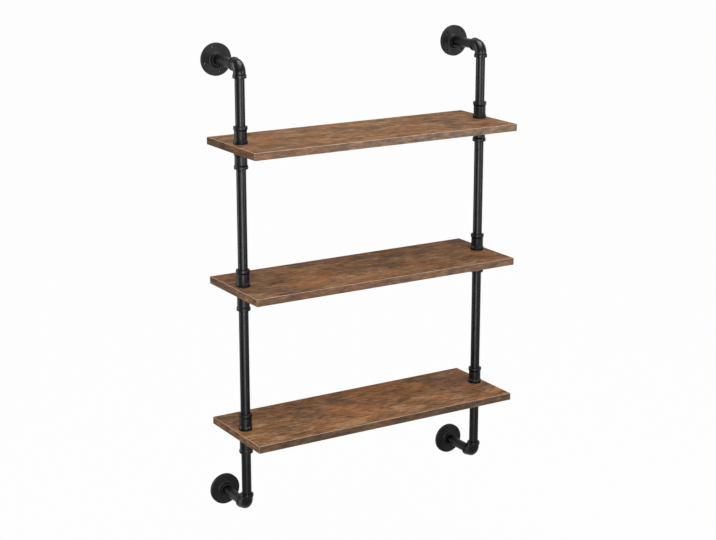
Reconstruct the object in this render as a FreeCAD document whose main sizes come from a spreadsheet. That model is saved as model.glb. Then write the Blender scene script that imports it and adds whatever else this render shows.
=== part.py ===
import FreeCAD, Part
import math
import os
import re
import Sketcher

# Wall-mounted pipe shelving unit: three edge-banded boards clamped on two pipe uprights.
# +Z is up, +Y runs into the wall and +X to the right, in millimetres. The origin lies on the wall, midway
# between the two uprights and midway between the upper and the lower flanges.

SIZES = {
    # Boards, with a strip of band on each edge
    "board_length": 666,
    "board_depth": 220,
    "board_thickness": 16,
    "band_thickness": 1,
    "band_arris": 0.4,
    "board_hole_clearance": 0.4,
    "wall_gap": 1,
    "upright_inset": 25,
    # Pipe, and the bare lengths of it that show between two fittings
    "pipe_diameter": 21.3,
    "pipe_wall": 2.6,
    "top_run": 101,
    "upper_run": 219,
    "lower_run": 235,
    "bottom_run": 96,
    # Pipe threads, drawn at their pitch diameter
    "thread_depth": 0.75,
    "thread_engagement": 13,
    "thread_tip": 0.8,
    "thread_clearance": 0.1,
    "mouth_clearance": 0.25,
    # Cast fittings with a bead round each end
    "fitting_wall": 3.4,
    "bead_rise": 1.6,
    "bead_height": 6,
    "bead_blend": 4,
    "bead_round": 1.5,
    "coupling_length": 38,
    "elbow_throat": 3.1,
    "elbow_neck": 0.5,
    "socket_relief": 1,
    # Wall flanges; each stands at the angle to which its thread was tightened
    "flange_diameter": 71,
    "plate_thickness": 7,
    "plate_round": 1,
    "hub_wall": 4.5,
    "hub_flare": 4,
    "hub_land": 1,
    "hub_round": 1,
    "flange_back_gap": 1,
    "screw_edge": 7.5,
    "screw_hole_diameter": 4,
    "screw_hole_chamfer": 0.3,
    "left_top_clocking": 16,
    "right_top_clocking": 45,
    "left_bottom_clocking": 76,
    "right_bottom_clocking": 36,
}

SCREW_HOLES = 4
CHAMFER_ANGLE = 90

# Radii and reaches that several pieces share, as expressions of the sizes; fittings follow their pipe
PIPE_RADIUS = "(pipe_diameter / 2)"
PIPE_BORE = "(pipe_diameter / 2 - pipe_wall)"
THREAD_RADIUS = "(pipe_diameter / 2 - thread_depth)"
SOCKET_RADIUS = "(pipe_diameter / 2 - thread_depth + thread_clearance)"
SOCKET_DEPTH = "(thread_engagement + socket_relief)"
MOUTH_RADIUS = "(pipe_diameter / 2 + mouth_clearance)"
MOUTH_DEPTH = "(mouth_clearance + thread_depth - thread_clearance)"
BODY_RADIUS = f"({SOCKET_RADIUS} + fitting_wall)"
BEAD_RADIUS = f"({BODY_RADIUS} + bead_rise)"
ELBOW_BEND = f"({BODY_RADIUS} + elbow_throat)"
ELBOW_REACH = f"({ELBOW_BEND} + elbow_neck + bead_blend + bead_height)"
HUB_RADIUS = f"({SOCKET_RADIUS} + hub_wall)"
HUB_HEIGHT = "(plate_thickness + hub_flare + hub_land + hub_round)"
SCREW_RADIUS = "(flange_diameter / 2 - screw_edge)"

# Places of the uprights and of the two flange axes
UPRIGHT_X = {"left": "(upright_inset - board_length / 2)", "right": "(board_length / 2 - upright_inset)"}
UPRIGHT_Y = "-(wall_gap + board_depth / 2)"
STACK = (f"(2 * {ELBOW_REACH} + bottom_run + lower_run + upper_run + top_run"
         " + 6 * coupling_length + 3 * board_thickness)")

UPRIGHT = FreeCAD.Rotation()
OUT_OF_WALL = FreeCAD.Rotation(FreeCAD.Vector(1, 0, 0), 90)
UPSIDE_DOWN = FreeCAD.Rotation(FreeCAD.Vector(0, 1, 0), 180)

# The pieces of one upright between its two elbows, from the bottom up, each with the size that it adds
COLUMN = (
    ("bottom_pipe", "bottom_run"),
    ("lower_shelf_bottom_coupling", "coupling_length"),
    ("lower_shelf_nipple", "board_thickness"),
    ("lower_shelf_top_coupling", "coupling_length"),
    ("lower_span_pipe", "lower_run"),
    ("middle_shelf_bottom_coupling", "coupling_length"),
    ("middle_shelf_nipple", "board_thickness"),
    ("middle_shelf_top_coupling", "coupling_length"),
    ("upper_span_pipe", "upper_run"),
    ("upper_shelf_bottom_coupling", "coupling_length"),
    ("upper_shelf_nipple", "board_thickness"),
    ("upper_shelf_top_coupling", "coupling_length"),
    ("top_pipe", "top_run"),
)


def formula(text):
    """The expression with the name of each size pointed at its cell in the sheet."""
    return re.sub("[a-z_]+", lambda word: f"Sizes.{word[0]}" if word[0] in SIZES else word[0], text)


def make_sheet(doc):
    """Puts each size's name in column A and its number, under that name, in column B."""
    sheet = doc.addObject("Spreadsheet::Sheet", "Sizes")
    for row, (name, number) in enumerate(SIZES.items(), 1):
        sheet.set(f"A{row}", name)
        sheet.set(f"B{row}", str(number))
        sheet.setAlias(f"B{row}", name)
    doc.recompute()


def new_body(doc, label, x, y, z, rotation=UPRIGHT):
    """An empty body whose place follows the sizes."""
    body = doc.addObject("PartDesign::Body", label)
    body.Label = label
    body.Placement = FreeCAD.Placement(FreeCAD.Vector(), rotation)
    for axis, text in zip("xyz", (x, y, z)):
        body.setExpression(f"Placement.Base.{axis}", formula(text))
    return body


def new_sketch(body, name, role, height=None):
    """A sketch on one of the body's origin planes, or at a height over it."""
    sketch = body.newObject("Sketcher::SketchObject", name)
    plane = next(plane for plane in body.Origin.OriginFeatures if plane.Role == role)
    sketch.AttachmentSupport = [(plane, "")]
    sketch.MapMode = "FlatFace"
    if height:
        sketch.setExpression("AttachmentOffset.Base.z", formula(height))
    return sketch


def value(sketch, text):
    """What an expression of the sizes comes to."""
    return float(sketch.evalExpression(formula(text)))


def vector(sketch, point):
    """The point of the sketch that two expressions give."""
    return FreeCAD.Vector(value(sketch, point[0]), value(sketch, point[1]), 0)


def tangent_point(sketch, corner, neighbour):
    """Where a square corner's rounding meets the level or upright edge to a neighbour."""
    x, y, radius = corner
    way = vector(sketch, neighbour) - vector(sketch, corner)
    if abs(way.x) > abs(way.y):
        return f"{x} {'+' if way.x > 0 else '-'} {radius}", y
    return x, f"{y} {'+' if way.y > 0 else '-'} {radius}"


def bind(sketch, rows):
    """Adds constraints, given as their arguments and the expression that drives each, or None."""
    first = sketch.ConstraintCount
    made = []
    for arguments, text in rows:
        number = () if text is None else (value(sketch, text),)
        made.append(Sketcher.Constraint(*arguments, *number))
    sketch.addConstraint(made)
    for index, (arguments, text) in enumerate(rows, first):
        if text is not None:
            sketch.setExpression(f"Constraints[{index}]", formula(text))


def add_arc(sketch, start, end, centre):
    """Adds the arc under a half turn from start to end; gives the ends that lie at start and at end."""
    circle = Part.Circle(centre, FreeCAD.Vector(0, 0, 1), start.distanceToPoint(centre))
    angles = [math.atan2(point.y - centre.y, point.x - centre.x) for point in (start, end)]
    ends = (1, 2)
    if (start - centre).cross(end - centre).z < 0:
        angles.reverse()
        ends = (2, 1)
    sketch.addGeometry(Part.ArcOfCircle(circle, *angles))
    return ends


def draw_path(sketch, corners, closed=True):
    """Draws lines through corners, each an x and a y expression; a third one rounds a square corner."""
    path = []
    for index, corner in enumerate(corners):
        if len(corner) == 2:
            path.append((corner, None))
            continue
        after = corners[(index + 1) % len(corners)]
        path.append((tangent_point(sketch, corner, corners[index - 1]), corner))
        path.append((tangent_point(sketch, corner, after), None))
    stops = path[1:] + path[:1] if closed else path[1:]
    ends = []
    rows = []
    for index, ((point, rounded), (stop, _)) in enumerate(zip(path, stops)):
        start = vector(sketch, point)
        end = vector(sketch, stop)
        if rounded:
            ends.append(add_arc(sketch, start, end, start + end - vector(sketch, rounded)))
            rows.append((("Radius", index), rounded[2]))
        else:
            sketch.addGeometry(Part.LineSegment(start, end))
            ends.append((1, 2))
    for index, (point, _) in enumerate(path):
        edge = min(index, len(ends) - 1)
        end = ends[edge][index - edge]
        rows.append((("DistanceX", -1, 1, edge, end), point[0]))
        rows.append((("DistanceY", -1, 1, edge, end), point[1]))
        if edge > 0 and edge == index:
            rows.append((("Coincident", edge - 1, ends[edge - 1][1], edge, ends[edge][0]), None))
    if closed:
        rows.append((("Coincident", len(ends) - 1, ends[-1][1], 0, ends[0][0]), None))
    bind(sketch, rows)


def draw_circle(sketch, x, y, radius):
    """Draws a circle whose centre and radius are expressions."""
    centre = vector(sketch, (x, y))
    index = sketch.addGeometry(Part.Circle(centre, FreeCAD.Vector(0, 0, 1), value(sketch, radius)))
    bind(sketch, [
        (("Radius", index), radius),
        (("DistanceX", -1, 1, index, 3), x),
        (("DistanceY", -1, 1, index, 3), y),
    ])


def turn(body, name, corners, kind="Revolution", role="XZ_Plane", axis="V_Axis"):
    """Turns a closed outline full circle about a sketch axis, to add metal or, as a Groove, to cut it."""
    sketch = new_sketch(body, name + "_outline", role)
    draw_path(sketch, corners)
    feature = body.newObject("PartDesign::" + kind, name)
    feature.Profile = sketch
    feature.ReferenceAxis = (sketch, [axis])
    feature.Angle = 360
    return feature


def make_tube(doc, label, place, length, start_engagement, rotation=UPRIGHT):
    """A pipe with threaded ends: bare from its place to its length, and inside a fitting beyond both."""
    body = new_body(doc, label, *place, rotation)
    start = f"(-({start_engagement}))"
    end = f"({length} + thread_engagement)"
    turn(body, "tube", (
        (PIPE_BORE, start),
        (f"{THREAD_RADIUS} - thread_tip", start),
        (THREAD_RADIUS, f"{start} + thread_tip"),
        (THREAD_RADIUS, "-thread_depth"),
        (PIPE_RADIUS, "0"),
        (PIPE_RADIUS, length),
        (THREAD_RADIUS, f"{length} + thread_depth"),
        (THREAD_RADIUS, f"{end} - thread_tip"),
        (f"{THREAD_RADIUS} - thread_tip", end),
        (PIPE_BORE, end),
    ))
    return body


def make_coupling(doc, label, place):
    """A straight threaded socket with a bead round each end, open all the way through."""
    body = new_body(doc, label, *place)
    turn(body, "socket", (
        (MOUTH_RADIUS, "0"),
        (BEAD_RADIUS, "0", "bead_round"),
        (BEAD_RADIUS, "bead_height"),
        (BODY_RADIUS, "bead_height + bead_blend"),
        (BODY_RADIUS, "coupling_length - bead_height - bead_blend"),
        (BEAD_RADIUS, "coupling_length - bead_height"),
        (BEAD_RADIUS, "coupling_length", "bead_round"),
        (MOUTH_RADIUS, "coupling_length"),
        (SOCKET_RADIUS, f"coupling_length - {MOUTH_DEPTH}"),
        (SOCKET_RADIUS, MOUTH_DEPTH),
    ))
    return body


def sweep(body, name, kind, radius, bend):
    """Sweeps a round section up the downward leg, round the bend and along the leg to the wall."""
    spine = new_sketch(body, name + "_spine", "YZ_Plane")
    draw_path(spine, (("0", f"-{ELBOW_REACH}"), ("0", "0", bend), (ELBOW_REACH, "0")), closed=False)
    section = new_sketch(body, name + "_section", "XY_Plane", f"-{ELBOW_REACH}")
    draw_circle(section, "0", "0", radius)
    feature = body.newObject("PartDesign::" + kind, name)
    feature.Profile = section
    feature.Spine = (spine, ["Edge1", "Edge2", "Edge3"])
    return feature


def on_down_leg(outline):
    """An outline of radii and distances from the bend's corner, laid along the downward leg."""
    return [(radius, f"-({distance})", *rounding) for radius, distance, *rounding in outline]


def on_wall_leg(outline):
    """The same, laid along the leg to the wall."""
    return [(distance, radius, *rounding) for radius, distance, *rounding in outline]


def make_elbow(doc, label, place, rotation):
    """A cast elbow: a swept body with a bead on each end, two threaded sockets and a curved waterway."""
    body = new_body(doc, label, *place, rotation)
    bead = (
        ("0", ELBOW_REACH),
        (BEAD_RADIUS, ELBOW_REACH, "bead_round"),
        (BEAD_RADIUS, f"{ELBOW_REACH} - bead_height"),
        (BODY_RADIUS, f"{ELBOW_REACH} - bead_height - bead_blend"),
        ("0", f"{ELBOW_REACH} - bead_height - bead_blend"),
    )
    socket = (
        ("0", ELBOW_REACH),
        (MOUTH_RADIUS, ELBOW_REACH),
        (SOCKET_RADIUS, f"{ELBOW_REACH} - {MOUTH_DEPTH}"),
        (SOCKET_RADIUS, f"{ELBOW_REACH} - {SOCKET_DEPTH}"),
        ("0", f"{ELBOW_REACH} - {SOCKET_DEPTH}"),
    )
    sweep(body, "bend", "AdditivePipe", BODY_RADIUS, ELBOW_BEND)
    turn(body, "lower_bead", on_down_leg(bead), role="YZ_Plane")
    turn(body, "wall_bead", on_wall_leg(bead), role="YZ_Plane", axis="H_Axis")
    sweep(body, "waterway", "SubtractivePipe", PIPE_BORE, f"({ELBOW_REACH} - {SOCKET_DEPTH})")
    turn(body, "lower_socket", on_down_leg(socket), "Groove", "YZ_Plane")
    turn(body, "wall_socket", on_wall_leg(socket), "Groove", "YZ_Plane", "H_Axis")
    return body


def make_flange(doc, label, place, clocking):
    """A round wall plate that flares up to a threaded hub, with a ring of chamfered screw holes."""
    body = new_body(doc, label, *place, OUT_OF_WALL)
    turn(body, "plate", (
        (SOCKET_RADIUS, "0"),
        ("flange_diameter / 2", "0"),
        ("flange_diameter / 2", "plate_thickness", "plate_round"),
        (HUB_RADIUS, "plate_thickness", "hub_flare"),
        (HUB_RADIUS, HUB_HEIGHT, "hub_round"),
        (MOUTH_RADIUS, HUB_HEIGHT),
        (SOCKET_RADIUS, f"{HUB_HEIGHT} - {MOUTH_DEPTH}"),
    ))
    sketch = new_sketch(body, "screw_hole_circle", "XY_Plane", "plate_thickness")
    draw_circle(
        sketch,
        f"{SCREW_RADIUS} * cos({clocking})",
        f"{SCREW_RADIUS} * sin({clocking})",
        "screw_hole_diameter / 2",
    )
    doc.recompute()
    hole = body.newObject("PartDesign::Hole", "screw_hole")
    hole.Profile = sketch
    hole.ThreadType = "None"
    hole.DepthType = "ThroughAll"
    hole.HoleCutType = "Countersink"
    hole.HoleCutCountersinkAngle = CHAMFER_ANGLE
    hole.setExpression("Diameter", formula("screw_hole_diameter"))
    hole.setExpression("HoleCutDiameter", formula("screw_hole_diameter + 2 * screw_hole_chamfer"))
    pattern = body.newObject("PartDesign::PolarPattern", "screw_holes")
    pattern.Originals = [hole]
    pattern.Axis = (next(axis for axis in body.Origin.OriginFeatures if axis.Role == "Z_Axis"), [""])
    pattern.Angle = 360
    pattern.Occurrences = SCREW_HOLES
    body.Tip = pattern
    return body


def make_board(doc, shelf):
    """A board's core, drilled for the two uprights, that leaves room for a band on each edge."""
    body = new_body(doc, f"{shelf}_shelf_board", "0", UPRIGHT_Y, level_of(f"{shelf}_shelf_nipple"))
    half_length = "(board_length / 2 - band_thickness)"
    half_depth = "(board_depth / 2 - band_thickness)"
    outline = new_sketch(body, "core_outline", "XY_Plane")
    draw_path(outline, (
        (f"-{half_length}", f"-{half_depth}"),
        (half_length, f"-{half_depth}"),
        (half_length, half_depth),
        (f"-{half_length}", half_depth),
    ))
    core = body.newObject("PartDesign::Pad", "core")
    core.Profile = outline
    core.setExpression("Length", formula("board_thickness"))
    centres = new_sketch(body, "pipe_hole_circles", "XY_Plane")
    for x in UPRIGHT_X.values():
        draw_circle(centres, x, "0", f"{PIPE_RADIUS} + board_hole_clearance")
    holes = body.newObject("PartDesign::Pocket", "pipe_holes")
    holes.Profile = centres
    holes.Type = "ThroughAll"
    holes.Reversed = True
    return body


def make_band(doc, label, place, turned, length, corners_show):
    """A strip with its outer face at its place; both long arrises, and shown corners, are taken off."""
    rotation = FreeCAD.Rotation(FreeCAD.Vector(0, 0, 1), turned)
    body = new_body(doc, label, *place, rotation)
    section = new_sketch(body, "strip_section", "YZ_Plane")
    draw_path(section, (
        ("-band_thickness", "0"),
        ("-band_arris", "0"),
        ("0", "band_arris"),
        ("0", "board_thickness - band_arris"),
        ("-band_arris", "board_thickness"),
        ("-band_thickness", "board_thickness"),
    ))
    strip = body.newObject("PartDesign::Pad", "strip")
    strip.Profile = section
    strip.SideType = "Symmetric"
    strip.setExpression("Length", formula(length))
    if corners_show:
        doc.recompute()
        arris = body.newObject("PartDesign::Chamfer", "corner_arris")
        arris.Base = (strip, outer_corner_edges(strip.Shape))
        arris.setExpression("Size", formula("band_arris"))
    return body


def outer_corner_edges(shape):
    """The names of a strip's two upright edges at the ends of its outer face."""
    outer = shape.BoundBox.YMax
    names = []
    for index, edge in enumerate(shape.Edges, 1):
        box = edge.BoundBox
        if math.isclose(box.YMin, outer, abs_tol=1e-6) and box.XLength < box.ZLength:
            names.append(f"Edge{index}")
    return names


def level_of(piece):
    """The height of a column piece's lower end, from what stands under it."""
    names = [name for name, size in COLUMN]
    below = [size for name, size in COLUMN[:names.index(piece)]]
    return " + ".join([f"-{STACK} / 2", ELBOW_REACH, *below])


def make_upright(doc, side):
    """One upright: the column of pipes and couplings, and at both ends the way back to the wall."""
    x = UPRIGHT_X[side]
    bodies = []
    for name, size in COLUMN:
        place = (x, UPRIGHT_Y, level_of(name))
        if name.endswith("coupling"):
            bodies.append(make_coupling(doc, f"{side}_{name}", place))
        else:
            bodies.append(make_tube(doc, f"{side}_{name}", place, size, "thread_engagement"))
    reach = f"(wall_gap + board_depth / 2 - {HUB_HEIGHT} - {ELBOW_REACH})"
    seat = f"{HUB_HEIGHT} - flange_back_gap"
    for end, level, rotation in (
        ("top", f"{STACK} / 2", UPRIGHT),
        ("bottom", f"-{STACK} / 2", UPSIDE_DOWN),
    ):
        label = f"{side}_{end}"
        mouth = (x, f"-{HUB_HEIGHT}", level)
        bodies.append(make_elbow(doc, f"{label}_elbow", (x, UPRIGHT_Y, level), rotation))
        bodies.append(make_tube(doc, f"{label}_wall_nipple", mouth, reach, seat, OUT_OF_WALL))
        bodies.append(make_flange(doc, f"{label}_flange", (x, "0", level), f"{label}_clocking"))
    return bodies


def make_shelf(doc, shelf):
    """One board and its four bands; the front and back bands cover the ends of the other two."""
    level = level_of(f"{shelf}_shelf_nipple")
    side_length = "board_depth - 2 * band_thickness"
    bodies = [make_board(doc, shelf)]
    for edge, turned, x, y, length in (
        ("front", 180, "0", f"{UPRIGHT_Y} - board_depth / 2", "board_length"),
        ("back", 0, "0", f"{UPRIGHT_Y} + board_depth / 2", "board_length"),
        ("left", 90, "-board_length / 2", UPRIGHT_Y, side_length),
        ("right", -90, "board_length / 2", UPRIGHT_Y, side_length),
    ):
        label = f"{shelf}_shelf_{edge}_band"
        bodies.append(make_band(doc, label, (x, y, level), turned, length, edge in ("front", "back")))
    return bodies


def check(doc, bodies):
    """Stops on a failed object, a cut that removed nothing or a piece that isn't one sound solid."""
    for item in doc.Objects:
        if "Invalid" in item.State or "Error" in item.State:
            raise ValueError(f"{item.Label} failed: {item.State}")
        if item.TypeId.split("::")[1] in ("Groove", "Pocket", "Hole", "SubtractivePipe", "Chamfer"):
            if item.Shape.Volume >= item.BaseFeature.Shape.Volume:
                raise ValueError(f"{item.Label} cuts nothing")
    for body in bodies:
        if body.Shape.isNull() or not body.Shape.isValid() or len(body.Shape.Solids) != 1:
            raise ValueError(f"{body.Label} isn't one sound solid")


def main():
    doc = FreeCAD.newDocument("pipe_shelving_unit")
    make_sheet(doc)
    bodies = []
    for shelf in ("upper", "middle", "lower"):
        bodies += make_shelf(doc, shelf)
    for side in UPRIGHT_X:
        bodies += make_upright(doc, side)
    doc.recompute()
    check(doc, bodies)
    os.makedirs("parts", exist_ok=True)
    for body in bodies:
        body.Shape.exportStep(f"parts/{body.Label}.step")
        print(f"{body.Label}: {body.Shape.Volume:.1f} cubic millimetres")


main()
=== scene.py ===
"""Finishes of a wall-mounted pipe shelving unit: printed boards, coated pipe and castings."""

import math

import bmesh
import bpy
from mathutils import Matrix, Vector


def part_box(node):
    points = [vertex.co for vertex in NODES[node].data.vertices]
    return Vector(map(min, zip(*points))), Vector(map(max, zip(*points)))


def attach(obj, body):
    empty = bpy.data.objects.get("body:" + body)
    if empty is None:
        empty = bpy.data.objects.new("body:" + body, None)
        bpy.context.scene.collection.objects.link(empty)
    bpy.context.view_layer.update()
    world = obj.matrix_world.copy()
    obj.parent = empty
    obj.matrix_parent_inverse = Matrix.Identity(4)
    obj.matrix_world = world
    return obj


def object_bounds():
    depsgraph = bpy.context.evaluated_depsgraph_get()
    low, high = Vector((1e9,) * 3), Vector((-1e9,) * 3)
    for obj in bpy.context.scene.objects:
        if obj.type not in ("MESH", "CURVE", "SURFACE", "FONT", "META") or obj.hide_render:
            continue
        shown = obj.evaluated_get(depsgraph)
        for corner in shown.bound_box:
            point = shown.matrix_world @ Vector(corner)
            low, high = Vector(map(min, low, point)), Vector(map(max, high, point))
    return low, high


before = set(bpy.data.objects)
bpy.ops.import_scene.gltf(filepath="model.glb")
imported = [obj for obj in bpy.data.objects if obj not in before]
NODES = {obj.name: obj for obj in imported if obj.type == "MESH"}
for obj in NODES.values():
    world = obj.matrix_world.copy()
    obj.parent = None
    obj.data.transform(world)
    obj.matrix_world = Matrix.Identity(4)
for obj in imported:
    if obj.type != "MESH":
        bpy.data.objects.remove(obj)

bl_info = {
    "name": "Pipe Shelving Finish",
    "version": (1, 0, 0),
    "blender": (4, 5, 0),
    "location": "View3D > Sidebar > Pipe Shelf",
    "description": "Gives the pipe shelving unit its finishes and stands it in a plain studio",
    "category": "Material",
}

CAD_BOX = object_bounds()
WHITE = (1.0, 1.0, 1.0, 1.0)

# Sockets that nodes know by number
OBJECT_COORDINATES = 3
MIX_FACTOR, MIX_FIRST, MIX_SECOND, MIXED_COLOUR = 0, 6, 7, 2
CELL_COLOUR = 1

# Axes by number
ALONG_BOARD, ACROSS_BOARD = 0, 1

# How light each shelf's board, long bands and end bands are: the print's own tone plus painted
# shade
# Painted shade: the long bands are darker than the tops, and each shelf is lighter or darker, as
# the light falls on it
PRINT_TONE_AND_PAINTED_SHADE = {
    "upper": (0.95, 0.84, 0.95),
    "middle": (0.97, 0.79, 1.36),
    "lower": (1.20, 0.57, 1.18),
}

# Where in the printed sheet each board's film and the bands' strips were cut, in metres
PRINT_CUTS = {
    "upper": (40.67, 18.13, 9.31),
    "middle": (29.88, 13.32, 6.84),
    "lower": (42.33, 18.87, 9.69),
}
BAND_CUT = (0.37, 0.11, 0.23)

# Each layer of the print: the mark that it is made of, its length and width as shares of that
# mark's, and its noise's shift, detail and roughness
PRINT_LAYERS = {
    "drift": ("patch", 3.0, 3.0, 41.3, 2.0, 0.5),
    "patch": ("patch", 1.0, 1.0, 3.1, 4.0, 0.65),
    "streak": ("streak", 1.0, 1.0, 8.7, 3.0, 0.6),
    "fibre": ("fibre", 1.0, 1.0, 5.3, 3.0, 0.6),
    "glow": ("patch", 1.7, 1.7, 17.9, 2.0, 0.5),
    "smoke": ("patch", 1.5, 1.5, 29.4, 3.0, 0.6),
    "fleck": ("streak", 0.5, 0.8, 13.7, 2.0, 0.6),
}
NOISE_MIDDLE = 0.5

# How far the grain sways and the width of a sway, as shares of a patch's width
SWAY_REACH, SWAY_WIDTH = 0.5, 2.0

# Shares of three layers in the print's tone, and of the rust, ash and knots that cover it
PATCH_SHARE, STREAK_SHARE, DRIFT_SHARE = 0.40, 0.44, 0.16
RUST_SHARE, ASH_SHARE, KNOT_SHARE = 0.46, 0.75, 0.70

# Where in the tone or in its own layer each colour or mark sets in and is full
BROWN_RISE, TAN_RISE = (0.40, 0.48), (0.50, 0.57)
RUST_RISE, ASH_RISE = (0.47, 0.66), (0.53, 0.65)
FLECK_RISE, FIBRE_RISE = (0.36, 0.64), (0.30, 0.62)

# What flecks and fibre lines multiply the colour by, where they are darkest and lightest
FLECK_TINTS = (0.77, 0.77, 0.77), (1.16, 1.16, 1.16)
FIBRE_TINTS = (0.76, 0.74, 0.72), (1.10, 1.10, 1.10)

# The width of a knot's cell as a share of its length, the knot's reach in it, the draw that decides
# which cells have one, and the knot's tone as a share of the print's dark tone
KNOT_CELL_WIDTH = 0.35
KNOT_REACH, KNOT_DRAW = (0.02, 0.15), (0.64, 0.66)
KNOT_TONE = 0.5

# Shares of fibre lines and streaks in the film's relief, the strength of its bump, what wear adds
# to its roughness, and where a band's core sets in and is full, in print depths
LINE_RELIEF, STREAK_RELIEF, RELIEF_STRENGTH = 0.6, 0.4, 0.6
WEAR_ROUGHNESS = 0.20
CORE_RISE = (0.5, 1.5)

# A coat's ripples and scuffs: each noise's shift, detail and roughness, the scuffs' lengths in
# metres and where they set in and are full, what both add to the coat's roughness, and the strength
# of the ripples' bump
RIPPLE_NOISE, SCUFF_NOISE = (0.0, 3.0, 0.6), (6.2, 4.0, 0.65)
SCUFF_LENGTHS, SCUFF_RISE = (0.020, 0.020, 0.040), (0.45, 0.70)
SCUFF_ROUGHNESS, RIPPLE_ROUGHNESS = 0.10, 0.08
RIPPLE_STRENGTH = 0.7

# Where in the ripples specks set in and are full, how much lighter than its coat a speck is, and
# the specks' share in each coat
SPECK_RISE, SPECK_LIGHTNESS = (0.52, 0.80), 3.0
SPECK_SHARES = {"pipe": 0.25, "casting": 0.45, "elbow": 0.30, "flange": 0.50}

# Where a casting's outer skin starts, as a share of a coupling's width and of the radius of an
# elbow's bead, the share of its length that an edge of that skin may climb, and the distances at
# which points are welded and cut, in metres
COUPLING_SKIN, ELBOW_SKIN, STEEPEST_SKIN = 0.43, 0.86, 0.9
WELD_DISTANCE, CUT_DISTANCE = 1e-6, 1e-7

# Each lamp's name, azimuth and elevation in degrees, distance, width and height in metres, and
# brightness; the softboxes light the unit, and the gleams are seen only as highlights in its coats
SOFTBOXES = (
    ("top_softbox", -15, 58, 3.4, (2.6, 2.0), 5.0),
)
GLEAMS = (
    ("front_gleam", -28, -3.5, 2.0, (1.0, 1.45), 22.5),
    ("right_gleam", 32, 6, 3.0, (0.8, 1.6), 20.5),
    ("left_rim_gleam", -124, 8, 2.6, (0.6, 2.4), 13.0),
    ("right_rim_gleam", 98, 8, 2.6, (0.5, 2.4), 2.0),
    ("top_gleam", 55, 80, 2.2, (1.4, 1.4), 18.0),
)


def nodes_ending(*endings):
    """The unit's pieces whose names end in one of these words."""
    return [NODES[name] for name in sorted(NODES) if name.endswith(endings)]


def colour_property(name, description, default):
    """A colour that a user would change, in linear light."""
    return bpy.props.FloatVectorProperty(
        name=name, description=description, default=default, subtype="COLOR", min=0, max=1)


def length_property(name, description, default):
    """A length that a user would change, in metres."""
    return bpy.props.FloatProperty(
        name=name, description=description, default=default, unit="LENGTH", precision=5, min=0)


def factor_property(name, description, default):
    """A share from 0 to 1 that a user would change."""
    return bpy.props.FloatProperty(
        name=name, description=description, default=default, subtype="FACTOR", min=0, max=1)


def angle_property(name, description, degrees):
    """An angle that a user would change."""
    return bpy.props.FloatProperty(
        name=name, description=description, default=math.radians(degrees), subtype="ANGLE")


class BoardFinish(bpy.types.PropertyGroup):
    """The wood print on the boards and on their edge bands."""

    brown: colour_property("Brown", "Middle tone of the print", (0.250, 0.127, 0.060))
    umber: colour_property("Umber", "Dark tone of the print", (0.098, 0.050, 0.026))
    tan: colour_property("Tan", "Light tone of the print", (0.405, 0.222, 0.110))
    rust: colour_property("Rust", "Warm patches of the print", (0.390, 0.142, 0.040))
    ash: colour_property("Ash", "Smoky patches of the print", (0.135, 0.083, 0.052))
    core: colour_property("Core", "Unprinted core of an edge band", (0.88, 0.63, 0.45))
    patch_length: length_property("Patch length", "Length of a patch of one tone", 0.060)
    patch_width: length_property("Patch width", "Width of a patch of one tone", 0.030)
    streak_length: length_property("Streak length", "Length of a streak along the grain", 0.034)
    streak_width: length_property("Streak width", "Width of a streak along the grain", 0.0060)
    fibre_length: length_property("Fibre length", "Length of a fibre line", 0.018)
    fibre_width: length_property("Fibre width", "Width of a fibre line", 0.0010)
    knot_spacing: length_property(
        "Knot spacing", "Distance between small knots along the grain", 0.16)
    film_skew: angle_property("Film skew", "Turn of a board's print from the board's length", 5)
    roughness: factor_property("Roughness", "Mean roughness of the film on a board", 0.62)
    gloss: factor_property("Gloss", "Gloss of the film on a board and on an end band", 0.03)
    band_roughness: factor_property("Band roughness", "Mean roughness of the film on a band", 0.42)
    band_gloss: factor_property("Band gloss", "Gloss of the film on a long band", 0.16)
    relief: length_property("Relief", "Depth of the grain pressed into the film", 0.00012)
    print_depth: length_property(
        "Print depth", "How far in from a band's outer face its core starts to show", 0.00015)


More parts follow.
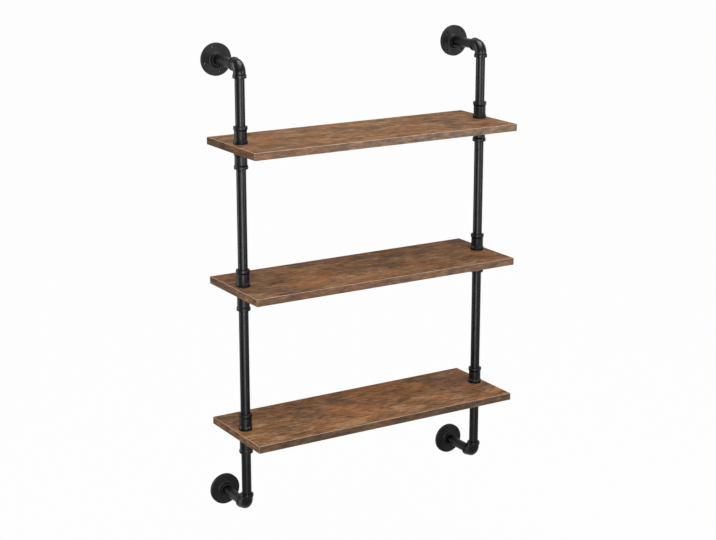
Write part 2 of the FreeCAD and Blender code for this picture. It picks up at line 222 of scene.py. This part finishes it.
class SteelFinish(bpy.types.PropertyGroup):
    """The black coat on the pipe and on the castings, and the castings' seams."""

    pipe: colour_property("Pipe", "Coat on the pipe", (0.0036, 0.0036, 0.0040))
    pipe_roughness: factor_property("Pipe roughness", "Mean roughness of the pipe's coat", 0.33)
    pipe_gloss: factor_property("Pipe gloss", "Gloss of the pipe's coat", 0.11)
    pipe_depth: length_property("Pipe depth", "Depth of the ripples in the pipe's coat", 0.00001)
    casting: colour_property("Casting", "Coat on the couplings", (0.0036, 0.0036, 0.0040))
    casting_roughness: factor_property(
        "Casting roughness", "Mean roughness of a coupling's coat", 0.38)
    casting_gloss: factor_property("Casting gloss", "Gloss of a coupling's coat", 0.11)
    casting_depth: length_property("Casting depth", "Depth of a coupling's sand grain", 0.00006)
    elbow: colour_property("Elbow", "Coat on the elbows", (0.0024, 0.0024, 0.0027))
    elbow_roughness: factor_property("Elbow roughness", "Mean roughness of an elbow's coat", 0.27)
    elbow_gloss: factor_property("Elbow gloss", "Gloss of an elbow's coat", 0.12)
    elbow_depth: length_property("Elbow depth", "Depth of an elbow's sand grain", 0.00004)
    flange: colour_property("Flange", "Coat on the wall flanges", (0.0036, 0.0036, 0.0040))
    flange_roughness: factor_property(
        "Flange roughness", "Mean roughness of a flange's coat", 0.50)
    flange_gloss: factor_property("Flange gloss", "Gloss of a flange's coat", 0.11)
    flange_depth: length_property("Flange depth", "Depth of a flange's sand grain", 0.0001)
    peel: length_property("Peel", "Size of the ripples in the pipe's coat", 0.0016)
    sand: length_property("Sand", "Size of the sand grain in a casting's skin", 0.0011)
    seam_radius: length_property(
        "Seam radius", "Radius of the ridge along a casting's mould joint", 0.00035)
    seam_sides: bpy.props.IntProperty(
        name="Seam sides", description="Sides of the ridge's section", default=8, min=3)
    seam_turn: angle_property(
        "Seam turn", "Turn of a coupling's mould joint from the wall's normal", 58)
    elbow_bend: length_property("Elbow bend", "Radius of the elbow's centre line", 0.0165)


class StudioSettings(bpy.types.PropertyGroup):
    """The floor, the sky and the camera."""

    floor_drop: length_property("Floor drop", "How far the floor lies below the unit", 0.45)
    floor_size: length_property("Floor size", "Side of the square floor", 60.0)
    floor_colour: colour_property("Floor colour", "Paint of the floor", (0.62, 0.62, 0.62))
    floor_white: factor_property(
        "Floor white", "Share of plain white in what is seen of the floor", 0.98)
    sky_level: factor_property("Sky level", "Light from all round", 0.35)
    camera_place: bpy.props.FloatVectorProperty(
        name="Camera place", description="Where the camera stands", unit="LENGTH",
        subtype="TRANSLATION", default=(-1.88903, -3.16431, 0.97321))
    camera_pan: angle_property(
        "Camera pan", "Turn of the camera to the right of the wall's normal", 31.454)
    camera_tilt: angle_property("Camera tilt", "Turn of the camera below the horizon", 14.423)
    camera_lens: bpy.props.FloatProperty(
        name="Camera lens", description="Focal length for a sensor 36 mm wide", unit="CAMERA",
        default=83.237)
    camera_shift: bpy.props.FloatVectorProperty(
        name="Camera shift", description="Shift of the lens, as a share of the picture's width",
        size=2, default=(0.00157, -0.02615))


class Value:
    """A node's socket that can be used in sums; each operation adds a Math node to its tree."""

    def __init__(self, tree, socket):
        self.tree = tree
        self.socket = socket

    def math(self, operation, first, second):
        """The result of a Math node on two values or numbers."""
        return self.tree.node("ShaderNodeMath", {"operation": operation}, {0: first, 1: second})

    def __add__(self, other):
        return self.math("ADD", self, other)

    def __radd__(self, other):
        return self.math("ADD", other, self)

    def __sub__(self, other):
        return self.math("SUBTRACT", self, other)

    def __rsub__(self, other):
        return self.math("SUBTRACT", other, self)

    def __mul__(self, other):
        return self.math("MULTIPLY", self, other)

    def __rmul__(self, other):
        return self.math("MULTIPLY", other, self)

    def __abs__(self):
        return self.tree.node("ShaderNodeMath", {"operation": "ABSOLUTE"}, {0: self})


class Tree:
    """A node tree under construction."""

    def __init__(self, node_tree):
        self.nodes = node_tree.nodes
        self.links = node_tree.links
        self.nodes.clear()

    def node(self, kind, settings=None, sockets=None, output=0):
        """Adds a node, sets its settings and then its sockets' values or links; gives an output."""
        node = self.nodes.new(kind)
        for name, setting in (settings or {}).items():
            setattr(node, name, setting)
        for name, given in (sockets or {}).items():
            if isinstance(given, Value):
                self.links.new(given.socket, node.inputs[name])
            else:
                node.inputs[name].default_value = given
        return Value(self, node.outputs[output]) if node.outputs else None

    def object_place(self):
        """The point on the unit, in metres."""
        return self.node("ShaderNodeTexCoord", output=OBJECT_COORDINATES)

    def stretched(self, place, lengths, shift=0.0):
        """A place measured in these lengths along its axes, and shifted by as many of each."""
        scale = [1.0 / length for length in lengths]
        return self.node("ShaderNodeVectorMath", {"operation": "MULTIPLY_ADD"}, {
            0: place, 1: scale, 2: (shift, shift, shift)})

    def noise(self, place, lengths, shift=0.0, detail=2.0, roughness=0.5):
        """Noise whose features have these lengths along the three axes."""
        return self.node("ShaderNodeTexNoise", None, {
            "Vector": self.stretched(place, lengths, shift), "Scale": 1.0, "Detail": detail,
            "Roughness": roughness})

    def ramp(self, value, low, high):
        """0 up to low, 1 from high on, and a smooth rise between."""
        return self.node("ShaderNodeMapRange", {"interpolation_type": "SMOOTHSTEP"}, {
            "Value": value, "From Min": low, "From Max": high})

    def mix(self, factor, first, second, mode="MIX"):
        """A mix of two colours, each a triple or a socket."""
        first, second = (
            given if isinstance(given, Value) else (*given, 1.0) for given in (first, second))
        return self.node("ShaderNodeMix", {"data_type": "RGBA", "blend_type": mode}, {
            MIX_FACTOR: factor, MIX_FIRST: first, MIX_SECOND: second}, MIXED_COLOUR)

    def tinted(self, colour, tint):
        """A colour multiplied by a tint."""
        return self.mix(1.0, colour, tint, "MULTIPLY")

    def bump(self, height, depth, strength):
        """The surface's normal over a height from 0 to 1 that stands for this depth."""
        return self.node("ShaderNodeBump", None, {
            "Strength": strength, "Distance": depth, "Height": height})


def new_material(name):
    """An empty material and the tree that builds it."""
    material = bpy.data.materials.new(name)
    material.use_nodes = True
    return material, Tree(material.node_tree)


def finish_surface(tree, sockets):
    """Ends a material in one surface shader."""
    surface = tree.node("ShaderNodeBsdfPrincipled", None, sockets)
    tree.node("ShaderNodeOutputMaterial", None, {"Surface": surface})


def dress(pieces, material):
    """Puts one material on every face of some of the unit's pieces."""
    for piece in pieces:
        if not piece.material_slots:
            raise RuntimeError(f"{piece.name} has no material slot")
        for slot in piece.material_slots:
            slot.material = material


def grain_lengths(length, width):
    """The lengths of a feature that runs along the grain."""
    return length, width, width


def wavy_grain(tree, look, place):
    """The place, moved a little to and fro across the grain."""
    wave = tree.noise(place, grain_lengths(look.patch_length, SWAY_WIDTH * look.patch_width))
    sway = SWAY_REACH * look.patch_width * (wave - NOISE_MIDDLE)
    across = tree.node("ShaderNodeCombineXYZ", None, {1: sway, 2: sway})
    return tree.node("ShaderNodeVectorMath", {"operation": "ADD"}, {0: place, 1: across})


def knots(tree, look, place):
    """1 at the eye of a small knot; about one cell in three has one."""
    cells = tree.stretched(
        place, grain_lengths(look.knot_spacing, KNOT_CELL_WIDTH * look.knot_spacing))
    distance = tree.node("ShaderNodeTexVoronoi", None, {"Vector": cells, "Scale": 1.0})
    cell_colour = tree.node(
        "ShaderNodeTexVoronoi", None, {"Vector": cells, "Scale": 1.0}, CELL_COLOUR)
    draw = tree.node("ShaderNodeSeparateColor", None, {0: cell_colour})
    return (1 - tree.ramp(distance, *KNOT_REACH)) * tree.ramp(draw, *KNOT_DRAW)


def print_layers(tree, look, grain):
    """The noise of each layer of the print, by name."""
    layers = {}
    for name, (mark, long, wide, *noise) in PRINT_LAYERS.items():
        length, width = getattr(look, f"{mark}_length"), getattr(look, f"{mark}_width")
        layers[name] = tree.noise(grain, grain_lengths(long * length, wide * width), *noise)
    return layers


def wood_print(tree, look, place, print_and_shade_tone):
    """The print's colour, lightened or darkened by painted shade, its wear and relief; its grain
    runs along the place's X axis.
    """
    grain = wavy_grain(tree, look, place)
    layer = print_layers(tree, look, grain)
    tone = (PATCH_SHARE * layer["patch"] + STREAK_SHARE * layer["streak"]
            + DRIFT_SHARE * layer["drift"])
    colour = tree.mix(tree.ramp(tone, *BROWN_RISE), look.umber, look.brown)
    colour = tree.mix(tree.ramp(tone, *TAN_RISE), colour, look.tan)
    colour = tree.mix(RUST_SHARE * tree.ramp(layer["glow"], *RUST_RISE), colour, look.rust)
    colour = tree.mix(ASH_SHARE * tree.ramp(layer["smoke"], *ASH_RISE), colour, look.ash)
    knot_colour = [KNOT_TONE * part for part in look.umber]
    colour = tree.mix(KNOT_SHARE * knots(tree, look, grain), colour, knot_colour)
    flecks = tree.ramp(layer["fleck"], *FLECK_RISE)
    colour = tree.tinted(colour, tree.mix(flecks, *FLECK_TINTS))
    lines = tree.ramp(layer["fibre"], *FIBRE_RISE)
    colour = tree.tinted(colour, tree.mix(lines, *FIBRE_TINTS))
    # Painted shade: scales the print by a lightness set for the shelf and for the face it lies on
    colour = tree.tinted(colour, [print_and_shade_tone] * 3)
    wear = NOISE_MIDDLE - layer["streak"]
    return colour, wear, LINE_RELIEF * lines + STREAK_RELIEF * layer["streak"]


def finish_print(tree, look, colour, wear, relief, roughness, gloss):
    """Ends a print in the film that covers it, which is rougher where it is worn."""
    finish_surface(tree, {
        "Base Color": colour, "Roughness": roughness + WEAR_ROUGHNESS * wear,
        "Specular IOR Level": gloss, "Normal": tree.bump(relief, look.relief, RELIEF_STRENGTH)})


def board_material(look, name, print_and_shade_tone, cut):
    """The print on a board's faces, from its own cut of the sheet, laid a little askew and made
    lighter or darker by painted shade.
    """
    material, tree = new_material(name)
    printed = tree.node("ShaderNodeMapping", None, {
        "Vector": tree.object_place(), "Location": cut, "Rotation": (0.0, 0.0, look.film_skew)})
    colour, wear, relief = wood_print(tree, look, printed, print_and_shade_tone)
    finish_print(tree, look, colour, wear, relief, look.roughness, look.gloss)
    return material


def band_material(look, name, print_and_shade_tone, turn, half_span, centre, axis, gloss):
    """The print on a band's outer face, half a span from a centre, made lighter or darker by
    painted shade, and the core behind it.
    """
    material, tree = new_material(name)
    place = tree.object_place()
    printed = tree.node("ShaderNodeMapping", None, {
        "Vector": place, "Location": BAND_CUT, "Rotation": (0.0, 0.0, turn)})
    colour, wear, relief = wood_print(tree, look, printed, print_and_shade_tone)
    across = tree.node("ShaderNodeSeparateXYZ", None, {0: place}, axis)
    depth = half_span - abs(across - centre)
    core = tree.ramp(depth, *(share * look.print_depth for share in CORE_RISE))
    colour = tree.mix(core, colour, look.core)
    finish_print(tree, look, colour, wear, relief, look.band_roughness, gloss)
    return material


def coat_material(name, colour, roughness, gloss, skin, depth, specks):
    """A black coat whose skin ripples at one size, with specks and faint scuffs."""
    material, tree = new_material(name)
    place = tree.object_place()
    ripple = tree.noise(place, (skin, skin, skin), *RIPPLE_NOISE)
    scuff = tree.ramp(tree.noise(place, SCUFF_LENGTHS, *SCUFF_NOISE), *SCUFF_RISE)
    speck_colour = [SPECK_LIGHTNESS * part for part in colour]
    tint = tree.mix(specks * tree.ramp(ripple, *SPECK_RISE), colour, speck_colour)
    rough = roughness + SCUFF_ROUGHNESS * scuff + RIPPLE_ROUGHNESS * (ripple - NOISE_MIDDLE)
    finish_surface(tree, {
        "Base Color": tint, "Roughness": rough, "Specular IOR Level": gloss,
        "Normal": tree.bump(ripple, depth, RIPPLE_STRENGTH)})
    return material


def coat_pieces(look, kind, skin, *endings):
    """Gives one kind of coat to the pieces whose names end in one of these words."""
    colour, roughness, gloss, depth = (
        getattr(look, kind + part) for part in ("", "_roughness", "_gloss", "_depth"))
    coat = coat_material(
        f"{kind}_coat", colour, roughness, gloss, skin, depth, SPECK_SHARES[kind])
    dress(nodes_ending(*endings), coat)


class SHELF_OT_print_boards(bpy.types.Operator):
    """Prints the faces of the three boards, each made lighter or darker by painted shade"""

    bl_idname = "shelf.print_boards"
    bl_label = "Print boards"

    def execute(self, context):
        look = context.scene.shelf_boards
        for shelf, (print_and_shade_tone, _, _) in PRINT_TONE_AND_PAINTED_SHADE.items():
            sheet = board_material(look, f"{shelf}_board_print", print_and_shade_tone, PRINT_CUTS[shelf])
            dress(nodes_ending(f"{shelf}_shelf_board"), sheet)
        return {"FINISHED"}


class SHELF_OT_band_edges(bpy.types.Operator):
    """Prints the edge bands with painted shade and shows their pale core at the arrises"""

    bl_idname = "shelf.band_edges"
    bl_label = "Band edges"

    def execute(self, context):
        look = context.scene.shelf_boards
        low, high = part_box("upper_shelf_front_band")
        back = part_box("upper_shelf_back_band")[1]
        middle, half_depth = (low.y + back.y) / 2, (back.y - low.y) / 2
        half_length = (high.x - low.x) / 2
        for shelf, (_, long_print_and_shade, end_print_and_shade) in PRINT_TONE_AND_PAINTED_SHADE.items():
            long_band = band_material(
                look, f"{shelf}_long_band_print", long_print_and_shade, 0.0, half_depth, middle,
                ACROSS_BOARD, look.band_gloss)
            dress(nodes_ending(f"{shelf}_shelf_front_band", f"{shelf}_shelf_back_band"), long_band)
            end_band = band_material(
                look, f"{shelf}_end_band_print", end_print_and_shade, math.radians(90), half_length, 0.0,
                ALONG_BOARD, look.gloss)
            dress(nodes_ending(f"{shelf}_shelf_left_band", f"{shelf}_shelf_right_band"), end_band)
        return {"FINISHED"}


class SHELF_OT_coat_pipes(bpy.types.Operator):
    """Coats the pipes and nipples in satin black"""

    bl_idname = "shelf.coat_pipes"
    bl_label = "Coat pipes"

    def execute(self, context):
        look = context.scene.shelf_steel
        coat_pieces(look, "pipe", look.peel, "_pipe", "_nipple")
        return {"FINISHED"}


class SHELF_OT_coat_fittings(bpy.types.Operator):
    """Coats the couplings and elbows over their sand-cast skin"""

    bl_idname = "shelf.coat_fittings"
    bl_label = "Coat fittings"

    def execute(self, context):
        look = context.scene.shelf_steel
        coat_pieces(look, "casting", look.sand, "_coupling")
        coat_pieces(look, "elbow", look.sand, "_elbow")
        return {"FINISHED"}


class SHELF_OT_coat_flanges(bpy.types.Operator):
    """Coats the four wall flanges over their sand-cast skin"""

    bl_idname = "shelf.coat_flanges"
    bl_label = "Coat flanges"

    def execute(self, context):
        look = context.scene.shelf_steel
        coat_pieces(look, "flange", look.sand, "_flange")
        return {"FINISHED"}


def outer_joint(piece, point, normal, from_centre, skin):
    """The edges in which a plane cuts a casting beyond a distance from its centre line."""
    shape = bmesh.new()
    shape.from_mesh(piece.data)
    bmesh.ops.remove_doubles(shape, verts=shape.verts, dist=WELD_DISTANCE)
    everything = [*shape.verts, *shape.edges, *shape.faces]
    halves = bmesh.ops.bisect_plane(
        shape, geom=everything, dist=CUT_DISTANCE, plane_co=point, plane_no=normal)
    lines = []
    for edge in halves["geom_cut"]:
        if isinstance(edge, bmesh.types.BMEdge):
            ends = [vert.co.copy() for vert in edge.verts]
            near, far = sorted(from_centre(end) for end in ends)
            if near > skin and far - near < STEEPEST_SKIN * edge.calc_length():
                lines.append(ends)
    shape.free()
    if not lines:
        raise RuntimeError(f"No mould joint found on {piece.name}")
    return lines


def coupling_joint(piece, turn):
    """The mould joint of a coupling, in a plane through its axis."""
    low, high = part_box(piece.name)
    middle = (low + high) / 2
    normal = Vector((math.cos(turn), math.sin(turn), 0.0))

    def from_centre(end):
        return (end - middle).xy.length

    return outer_joint(piece, middle, normal, from_centre, COUPLING_SKIN * (high.x - low.x))


def elbow_joint(piece, bend):
    """The mould joint of an elbow, in the plane of its bend."""
    low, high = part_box(piece.name)
    middle = (low + high) / 2
    bead = (high.x - low.x) / 2
    top = middle.z > 0
    corner = Vector((middle.x, low.y + bead, high.z - bead if top else low.z + bead))

    def from_centre(end):
        along_wall_leg = end.y - corner.y
        along_column_leg = corner.z - end.z if top else end.z - corner.z
        if along_wall_leg < bend and along_column_leg < bend:
            return abs(math.hypot(along_wall_leg - bend, along_column_leg - bend) - bend)
        return min(abs(along_wall_leg), abs(along_column_leg))

    return outer_joint(piece, corner, Vector((1.0, 0.0, 0.0)), from_centre, ELBOW_SKIN * bead)


def seam_tree():
    """A tree that lays a round ridge along edges, with its radius, sides and coat as inputs."""
    group = bpy.data.node_groups.new("casting_seam", "GeometryNodeTree")
    inputs = {"Edges": "Geometry", "Radius": "Float", "Sides": "Int", "Coat": "Material"}
    for name, kind in inputs.items():
        group.interface.new_socket(name=name, in_out="INPUT", socket_type="NodeSocket" + kind)
    group.interface.new_socket(name="Seams", in_out="OUTPUT", socket_type="NodeSocketGeometry")
    tree = Tree(group)
    edges, radius, sides, coat = (
        tree.node("NodeGroupInput", output=index) for index in range(len(inputs)))
    path = tree.node("GeometryNodeMeshToCurve", None, {"Mesh": edges})
    section = tree.node("GeometryNodeCurvePrimitiveCircle", None, {
        "Resolution": sides, "Radius": radius})
    ridge = tree.node("GeometryNodeCurveToMesh", None, {
        "Curve": path, "Profile Curve": section, "Fill Caps": True})
    smooth = tree.node("GeometryNodeSetShadeSmooth", None, {"Geometry": ridge})
    real = tree.node("GeometryNodeRealizeInstances", None, {"Geometry": smooth})
    coated = tree.node("GeometryNodeSetMaterial", None, {"Geometry": real, "Material": coat})
    tree.node("NodeGroupOutput", None, {"Seams": coated})
    return group


def grow(piece, group, settings):
    """Runs a geometry tree on a piece, its inputs given by name, and keeps the plain mesh."""
    modifier = piece.modifiers.new(group.name, "NODES")
    modifier.node_group = group
    for item in group.interface.items_tree:
        if item.name in settings:
            modifier[item.identifier] = settings[item.name]
    sketch = piece.data
    grown = piece.evaluated_get(bpy.context.evaluated_depsgraph_get())
    piece.data = bpy.data.meshes.new_from_object(grown)
    piece.modifiers.clear()
    bpy.data.meshes.remove(sketch)


class SHELF_OT_raise_seams(bpy.types.Operator):
    """Raises the seams that the moulds left along the couplings and elbows"""

    bl_idname = "shelf.raise_seams"
    bl_label = "Raise seams"

    def execute(self, context):
        look = context.scene.shelf_steel
        lines = []
        for piece in nodes_ending("_coupling"):
            lines += coupling_joint(piece, look.seam_turn)
        for piece in nodes_ending("_elbow"):
            lines += elbow_joint(piece, look.elbow_bend)
        shape = bmesh.new()
        for ends in lines:
            shape.edges.new([shape.verts.new(end) for end in ends])
        bmesh.ops.remove_doubles(shape, verts=shape.verts, dist=WELD_DISTANCE)
        mesh = bpy.data.meshes.new("casting_seams")
        shape.to_mesh(mesh)
        shape.free()
        seams = bpy.data.objects.new("casting_seams", mesh)
        context.scene.collection.objects.link(seams)
        grow(seams, seam_tree(), {
            "Radius": look.seam_radius, "Sides": look.seam_sides,
            "Coat": bpy.data.materials["casting_coat"]})
        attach(seams, "root")
        return {"FINISHED"}


def seen_white(tree):
    """1 for what the camera sees, straight, in a gloss or through glass."""
    rays = [tree.node("ShaderNodeLightPath", output=name)
            for name in ("Is Camera Ray", "Is Glossy Ray", "Is Transmission Ray")]
    seen = rays[0] + rays[1] + rays[2]
    return tree.node("ShaderNodeMath", {"operation": "MINIMUM"}, {0: seen, 1: 1.0})


def add_lamp(name, azimuth, elevation, distance, size, level):
    """A rectangular lamp aimed at the unit's middle; its face is this much brighter than white."""
    lamp = bpy.data.lights.new(name, "AREA")
    lamp.shape = "RECTANGLE"
    lamp.size, lamp.size_y = size
    lamp.energy = level * math.pi * size[0] * size[1]
    box = bpy.data.objects.new(name, lamp)
    bpy.context.scene.collection.objects.link(box)
    turn, rise = math.radians(azimuth), math.radians(elevation)
    out = Vector((
        math.sin(turn) * math.cos(rise), -math.cos(turn) * math.cos(rise), math.sin(rise)))
    middle = (CAD_BOX[0] + CAD_BOX[1]) / 2
    box.location = middle + out * distance
    box.rotation_euler = (-out).to_track_quat("-Z", "Y").to_euler()
    box.visible_camera = False
    return box


def add_floor(studio):
    """A plain pale floor below the unit."""
    half, level = studio.floor_size / 2, CAD_BOX[0].z - studio.floor_drop
    mesh = bpy.data.meshes.new("floor")
    corners = [
        (-half, -half, level), (half, -half, level), (half, half, level), (-half, half, level)]
    mesh.from_pydata(corners, [], [(0, 1, 2, 3)])
    floor = bpy.data.objects.new("floor", mesh)
    bpy.context.scene.collection.objects.link(floor)
    material, tree = new_material("floor_paint")
    paint = tree.node("ShaderNodeBsdfDiffuse", None, {"Color": (*studio.floor_colour, 1.0)})
    white = tree.node("ShaderNodeEmission", None, {"Color": WHITE, "Strength": 1.0})
    share = studio.floor_white * seen_white(tree)
    surface = tree.node("ShaderNodeMixShader", None, {0: share, 1: paint, 2: white})
    tree.node("ShaderNodeOutputMaterial", None, {"Surface": surface})
    mesh.materials.append(material)


def add_sky(studio):
    """Even light from all round, seen as plain white."""
    world = bpy.data.worlds.new("studio")
    world.use_nodes = True
    tree = Tree(world.node_tree)
    level = studio.sky_level + (1.0 - studio.sky_level) * seen_white(tree)
    sky = tree.node("ShaderNodeBackground", None, {"Color": WHITE, "Strength": level})
    tree.node("ShaderNodeOutputWorld", None, {"Surface": sky})
    bpy.context.scene.world = world


def add_camera(studio):
    """The camera, at the photograph's angle."""
    data = bpy.data.cameras.new("camera")
    data.lens = studio.camera_lens
    data.shift_x, data.shift_y = studio.camera_shift
    camera = bpy.data.objects.new("camera", data)
    camera.location = studio.camera_place
    camera.rotation_euler = (math.radians(90) - studio.camera_tilt, 0.0, -studio.camera_pan)
    bpy.context.scene.collection.objects.link(camera)
    bpy.context.scene.camera = camera


class SHELF_OT_set_stage(bpy.types.Operator):
    """Lays the floor, hangs the lamps and sets up the camera"""

    bl_idname = "shelf.set_stage"
    bl_label = "Set stage"

    def execute(self, context):
        studio = context.scene.shelf_studio
        context.scene.view_settings.view_transform = "Standard"
        add_floor(studio)
        add_sky(studio)
        for softbox in SOFTBOXES:
            add_lamp(*softbox)
        for gleam in GLEAMS:
            add_lamp(*gleam).visible_diffuse = False
        add_camera(studio)
        return {"FINISHED"}


OPERATORS = (
    SHELF_OT_print_boards, SHELF_OT_band_edges, SHELF_OT_coat_pipes, SHELF_OT_coat_fittings,
    SHELF_OT_coat_flanges, SHELF_OT_raise_seams, SHELF_OT_set_stage)
GROUPS = {"shelf_boards": BoardFinish, "shelf_steel": SteelFinish, "shelf_studio": StudioSettings}


class SHELF_PT_finish(bpy.types.Panel):
    """Lists the steps that finish the unit, and their settings"""

    bl_idname = "SHELF_PT_finish"
    bl_label = "Pipe Shelf"
    bl_space_type = "VIEW_3D"
    bl_region_type = "UI"
    bl_category = "Pipe Shelf"

    def draw(self, context):
        for step in OPERATORS:
            self.layout.operator(step.bl_idname)
        for name, group in GROUPS.items():
            settings = self.layout.box()
            for setting in group.__annotations__:
                settings.prop(getattr(context.scene, name), setting)


CLASSES = (*GROUPS.values(), *OPERATORS, SHELF_PT_finish)


def register():
    """Registers the classes and hangs the settings on the scene."""
    for item in CLASSES:
        bpy.utils.register_class(item)
    for name, group in GROUPS.items():
        setattr(bpy.types.Scene, name, bpy.props.PointerProperty(type=group))


def unregister():
    """Takes the settings off the scene and removes the classes."""
    for name in GROUPS:
        delattr(bpy.types.Scene, name)
    for item in reversed(CLASSES):
        bpy.utils.unregister_class(item)


def main():
    """Finishes the unit and sets the stage."""
    register()
    bpy.ops.shelf.print_boards()
    bpy.ops.shelf.band_edges()
    bpy.ops.shelf.coat_pipes()
    bpy.ops.shelf.coat_fittings()
    bpy.ops.shelf.coat_flanges()
    bpy.ops.shelf.raise_seams()
    bpy.ops.shelf.set_stage()


if __name__ == "__main__":
    main()
